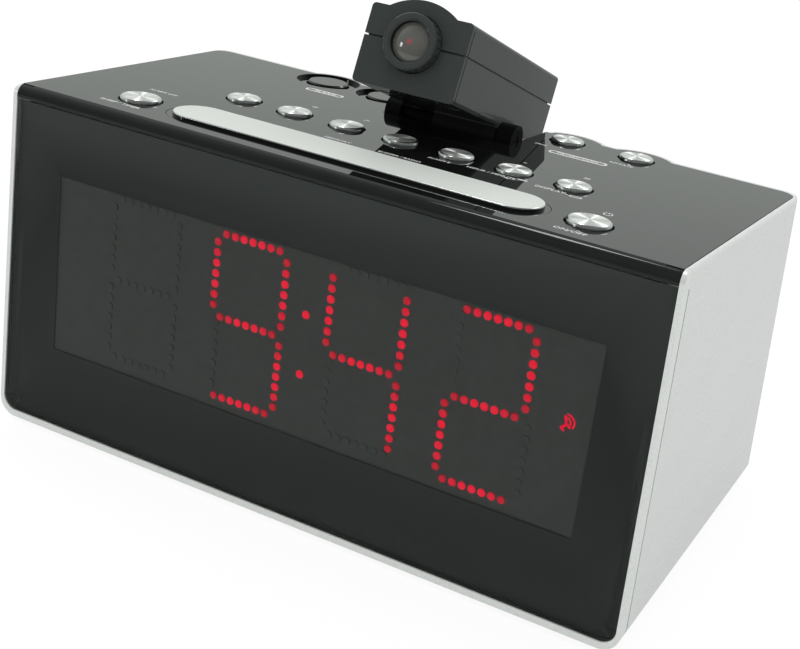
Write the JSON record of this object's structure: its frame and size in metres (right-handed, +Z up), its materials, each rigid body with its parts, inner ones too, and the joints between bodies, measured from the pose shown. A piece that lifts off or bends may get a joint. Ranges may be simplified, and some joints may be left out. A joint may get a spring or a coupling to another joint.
{
  "type": "projection_alarm_clock",
  "caption": "Radio alarm clock with a large dot-segment display behind smoked glass, a snooze bar, round metal keys and a tilting projector head",
  "frame": {"origin": "centre of the bounding box in X and Y, lowest point of the rubber feet in Z", "axes": "X along the width of the case, display facing -Y, Z up"},
  "size_m": [0.2344, 0.1438, 0.1575],
  "materials": {
    "silver_case": "satin",
    "smoked_panel": "polished",
    "black_gloss": "gloss",
    "black_matte": "matte",
    "dark_film": "matte",
    "head_black": "satin",
    "key_metal": "polished",
    "bar_metal": "satin",
    "steel": "satin",
    "brass": "satin",
    "clear_lens": "polished",
    "lit_led": "gloss",
    "dark_led": "satin",
    "circuit_board": "satin",
    "chip_black": "matte",
    "ferrite": "matte",
    "cell_sleeve": "gloss",
    "foot_rubber": "matte"
  },
  "bodies": {
    "case": {"cabinet_shell": "silver_case", "front_frame": "silver_case", "front_panel": "smoked_panel", "display_mask": "dark_film", "display_bezel": "black_matte", "top_front_strip": "black_gloss", "top_cover": "black_gloss", "projector_well": "black_matte", "hinge_pin": "steel", "friction_washers": "brass", "base_plate": "black_matte", "batteries": "cell_sleeve", "battery_contacts": "steel", "rubber_feet": "foot_rubber", "led_housings": "chip_black", "led_dots_lit": "lit_led", "led_dots_dark": "dark_led", "display_board": "circuit_board", "key_board": "circuit_board", "key_switches": "chip_black", "main_board": "circuit_board", "board_parts": "chip_black", "ferrite_antenna": "ferrite", "speaker": "chip_black", "power_inlet": "black_matte", "case_screws": "steel", "board_screws": "steel"},
    "projector_head": {"projector_lower_shell": "head_black", "projector_upper_shell": "head_black", "projector_screws": "steel", "lens_barrel": "black_matte", "optics_frame": "black_matte", "slide_plate": "circuit_board", "condenser_lens": "clear_lens", "projector_lamp": "steel"},
    "focus_ring_body": {"focus_ring": "head_black"},
    "lens_slide": {"lens_carrier": "black_matte", "projection_lens": "clear_lens"},
    "battery_door_body": {"battery_door": "black_matte"},
    "snooze_bar_body": {"snooze_bar": "bar_metal"},
    "sleep_key_body": {"sleep_key": "key_metal"},
    "power_key_body": {"power_key": "key_metal"},
    "row_key_1_body": {"row_key_1": "key_metal"},
    "row_key_2_body": {"row_key_2": "key_metal"},
    "row_key_3_body": {"row_key_3": "key_metal"},
    "row_key_4_body": {"row_key_4": "key_metal"},
    "row_key_5_body": {"row_key_5": "key_metal"},
    "row_key_6_body": {"row_key_6": "key_metal"},
    "row_key_7_body": {"row_key_7": "key_metal"},
    "rear_key_1_body": {"rear_key_1": "key_metal"},
    "rear_key_2_body": {"rear_key_2": "key_metal"},
    "alarm_key_1_body": {"alarm_key_1": "black_gloss"},
    "alarm_key_2_body": {"alarm_key_2": "black_gloss"}
  },
  "joints": [
    {"name": "projector_tilt", "type": "hinge", "parent": "case", "child": "projector_head", "pos_m": [0, 0.02702, 0.1097], "axis": [-1, 0, 0], "range_deg": [-18, 65]},
    {"name": "focus_turn", "type": "hinge", "parent": "projector_head", "child": "focus_ring_body", "pos_m": [0, -0.00581, 0.14483], "axis": [0, -0.9063, 0.4226], "range_deg": [-60, 60]},
    {"name": "lens_focus", "type": "slide", "parent": "projector_head", "child": "lens_slide", "axis": [0, -0.9063, 0.4226], "range_m": [-0.0006, 0.0006]},
    {"name": "battery_door_slide", "type": "slide", "parent": "case", "child": "battery_door_body", "axis": [0, 1, 0], "range_m": [0, 0.006]},
    {"name": "snooze_bar_press", "type": "slide", "parent": "case", "child": "snooze_bar_body", "axis": [0, -0.1179, -0.993], "range_m": [0, 0.0008], "stiffness_N_per_m": 2500, "springref_m": -0.0003},
    {"name": "sleep_key_press", "type": "slide", "parent": "case", "child": "sleep_key_body", "axis": [0, -0.1179, -0.993], "range_m": [0, 0.0008], "stiffness_N_per_m": 1200, "springref_m": -0.0003},
    {"name": "power_key_press", "type": "slide", "parent": "case", "child": "power_key_body", "axis": [0, -0.1179, -0.993], "range_m": [0, 0.0008], "stiffness_N_per_m": 1200, "springref_m": -0.0003},
    {"name": "row_key_1_press", "type": "slide", "parent": "case", "child": "row_key_1_body", "axis": [0, -0.1179, -0.993], "range_m": [0, 0.0008], "stiffness_N_per_m": 1200, "springref_m": -0.0003},
    {"name": "row_key_2_press", "type": "slide", "parent": "case", "child": "row_key_2_body", "axis": [0, -0.1179, -0.993], "range_m": [0, 0.0008], "stiffness_N_per_m": 1200, "springref_m": -0.0003},
    {"name": "row_key_3_press", "type": "slide", "parent": "case", "child": "row_key_3_body", "axis": [0, -0.1179, -0.993], "range_m": [0, 0.0008], "stiffness_N_per_m": 1200, "springref_m": -0.0003},
    {"name": "row_key_4_press", "type": "slide", "parent": "case", "child": "row_key_4_body", "axis": [0, -0.1179, -0.993], "range_m": [0, 0.0008], "stiffness_N_per_m": 1200, "springref_m": -0.0003},
    {"name": "row_key_5_press", "type": "slide", "parent": "case", "child": "row_key_5_body", "axis": [0, -0.1179, -0.993], "range_m": [0, 0.0008], "stiffness_N_per_m": 1200, "springref_m": -0.0003},
    {"name": "row_key_6_press", "type": "slide", "parent": "case", "child": "row_key_6_body", "axis": [0, -0.1179, -0.993], "range_m": [0, 0.0008], "stiffness_N_per_m": 1200, "springref_m": -0.0003},
    {"name": "row_key_7_press", "type": "slide", "parent": "case", "child": "row_key_7_body", "axis": [0, -0.1179, -0.993], "range_m": [0, 0.0008], "stiffness_N_per_m": 1200, "springref_m": -0.0003},
    {"name": "rear_key_1_press", "type": "slide", "parent": "case", "child": "rear_key_1_body", "axis": [0, -0.1179, -0.993], "range_m": [0, 0.0008], "stiffness_N_per_m": 1200, "springref_m": -0.0003},
    {"name": "rear_key_2_press", "type": "slide", "parent": "case", "child": "rear_key_2_body", "axis": [0, -0.1179, -0.993], "range_m": [0, 0.0008], "stiffness_N_per_m": 1200, "springref_m": -0.0003},
    {"name": "alarm_key_1_press", "type": "slide", "parent": "case", "child": "alarm_key_1_body", "axis": [0, -0.1179, -0.993], "range_m": [0, 0.0008], "stiffness_N_per_m": 1200, "springref_m": -0.0003},
    {"name": "alarm_key_2_press", "type": "slide", "parent": "case", "child": "alarm_key_2_body", "axis": [0, -0.1179, -0.993], "range_m": [0, 0.0008], "stiffness_N_per_m": 1200, "springref_m": -0.0003}
  ],
  "couplings": [
    {"joint": "lens_focus", "follows": "focus_turn", "m_per_rad": 0.000573}
  ]
}
